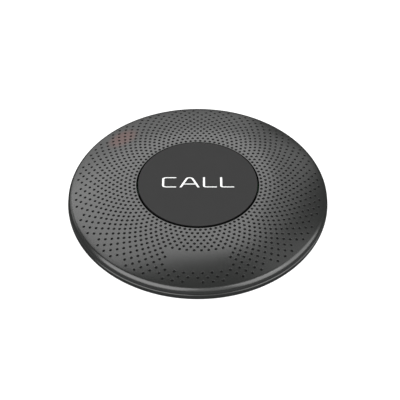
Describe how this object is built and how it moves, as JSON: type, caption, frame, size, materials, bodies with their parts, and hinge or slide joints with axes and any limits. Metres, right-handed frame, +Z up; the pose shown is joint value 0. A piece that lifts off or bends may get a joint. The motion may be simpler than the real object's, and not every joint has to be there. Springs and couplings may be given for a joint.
{
  "type": "waiter call button",
  "caption": "Round, low, domed table button that calls a waiter by radio: a large central key, a dimpled case, a coin-cell door underneath and rubber feet.",
  "frame": {"origin": "middle of the footprint, on the plane of the rubber feet", "axes": "+Z up through the key, +Y away from the person who reads the legend, +X to that person's right"},
  "size_m": [0.09, 0.09, 0.0125],
  "materials": {
    "case_plastic": "fine satin moulded ABS, charcoal",
    "key_plastic": "matt moulded ABS, near black",
    "base_plastic": "matt moulded ABS, near black",
    "guide_plastic": "natural acetal",
    "seal_silicone": "silicone rubber",
    "foot_rubber": "soft rubber",
    "screw_steel": "zinc plated",
    "spring_steel": "stainless spring steel",
    "board_laminate": "glass-fibre board with green lacquer",
    "chip_resin": "moulded epoxy",
    "chip_ceramic": "fired ceramic",
    "tinned_metal": "tinned copper",
    "led_resin": "tinted epoxy",
    "clear_plastic": "clear acrylic",
    "ferrite": "pressed ferrite",
    "cell_steel": "nickel-plated steel"
  },
  "bodies": {
    "case": {"top_shell": "case_plastic", "base_shell": "base_plastic", "case_seal": "seal_silicone", "case_screws": "screw_steel", "rubber_feet": "foot_rubber", "key_guide": "guide_plastic", "return_spring": "spring_steel", "circuit_board": "board_laminate", "board_screws": "screw_steel", "switch_base": "chip_resin", "switch_terminals": "tinned_metal", "switch_dome": "spring_steel", "switch_cover": "spring_steel", "indicator_led": "led_resin", "light_guide": "clear_plastic", "radio_chip": "chip_resin", "encoder_chip": "chip_resin", "crystal_can": "cell_steel", "tuning_inductor": "ferrite", "chip_capacitors": "chip_ceramic", "chip_resistors": "chip_resin", "antenna_wire": "tinned_metal", "coin_cell_can": "cell_steel", "coin_cell_cap": "cell_steel", "coin_cell_gasket": "guide_plastic", "positive_contact": "spring_steel", "negative_contact": "spring_steel"},
    "key": {"call_key": "key_plastic"},
    "plunger": {"switch_plunger": "chip_resin"},
    "door": {"battery_door": "base_plastic", "door_seal": "seal_silicone"}
  },
  "joints": [
    {"name": "key_press", "type": "slide", "parent": "case", "child": "key", "axis": [0, 0, -1], "range_m": [0, 0.0005], "stiffness_N_per_m": 900, "springref_m": -0.0018, "deforming": ["return_spring"]},
    {"name": "switch_press", "type": "slide", "parent": "case", "child": "plunger", "axis": [0, 0, -1], "range_m": [0, 0.0005], "deforming": ["switch_dome"]},
    {"name": "door_turn", "type": "hinge", "parent": "case", "child": "door", "pos_m": [0, 0, 0.002], "axis": [0, 0, -1], "range_deg": [0, 35]}
  ],
  "couplings": [
    {"joint": "switch_press", "follows": "key_press", "ratio": 1}
  ]
}
